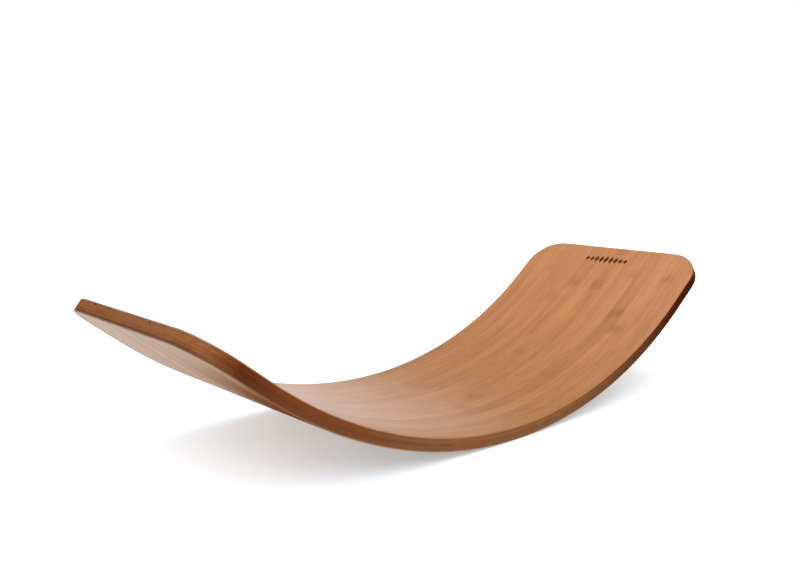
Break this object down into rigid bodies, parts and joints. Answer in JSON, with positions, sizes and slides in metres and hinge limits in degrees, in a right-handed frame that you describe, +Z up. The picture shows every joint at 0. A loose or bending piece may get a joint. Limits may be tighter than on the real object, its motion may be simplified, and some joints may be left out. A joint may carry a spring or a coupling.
{
  "type": "balance board",
  "caption": "Curved rocker balance board: a bent panel of laminated bamboo with round corners that rocks on its convex underside and is stood on in its hollow.",
  "frame": {"origin": "on the floor under the middle of the board, where its convex underside rests", "axes": "+X along the board, +Y across it, +Z up out of the hollow that is stood in"},
  "size_m": [0.831, 0.296, 0.1833],
  "materials": {
    "bamboo_face": "carbonised bamboo strips with lengthwise grain, rubbed down and satin varnished",
    "bamboo_core": "carbonised bamboo seen from its sawn edge, satin varnished",
    "bamboo_cross": "darker crosswise bamboo, end grain along the board's sides, satin varnished"
  },
  "bodies": {
    "root": {"top_face_strip_01": "bamboo_face", "top_face_strip_02": "bamboo_face", "top_face_strip_03": "bamboo_face", "top_face_strip_04": "bamboo_face", "top_face_strip_05": "bamboo_face", "top_face_strip_06": "bamboo_face", "top_face_strip_07": "bamboo_face", "top_face_strip_08": "bamboo_face", "top_face_strip_09": "bamboo_face", "top_face_strip_10": "bamboo_face", "top_face_strip_11": "bamboo_face", "top_face_strip_12": "bamboo_face", "top_face_strip_13": "bamboo_face", "top_face_strip_14": "bamboo_face", "upper_core_ply": "bamboo_core", "centre_cross_ply": "bamboo_cross", "lower_core_ply": "bamboo_core", "bottom_face_strip_01": "bamboo_face", "bottom_face_strip_02": "bamboo_face", "bottom_face_strip_03": "bamboo_face", "bottom_face_strip_04": "bamboo_face", "bottom_face_strip_05": "bamboo_face", "bottom_face_strip_06": "bamboo_face", "bottom_face_strip_07": "bamboo_face", "bottom_face_strip_08": "bamboo_face", "bottom_face_strip_09": "bamboo_face", "bottom_face_strip_10": "bamboo_face", "bottom_face_strip_11": "bamboo_face", "bottom_face_strip_12": "bamboo_face", "bottom_face_strip_13": "bamboo_face", "bottom_face_strip_14": "bamboo_face"}
  },
  "joints": []
}
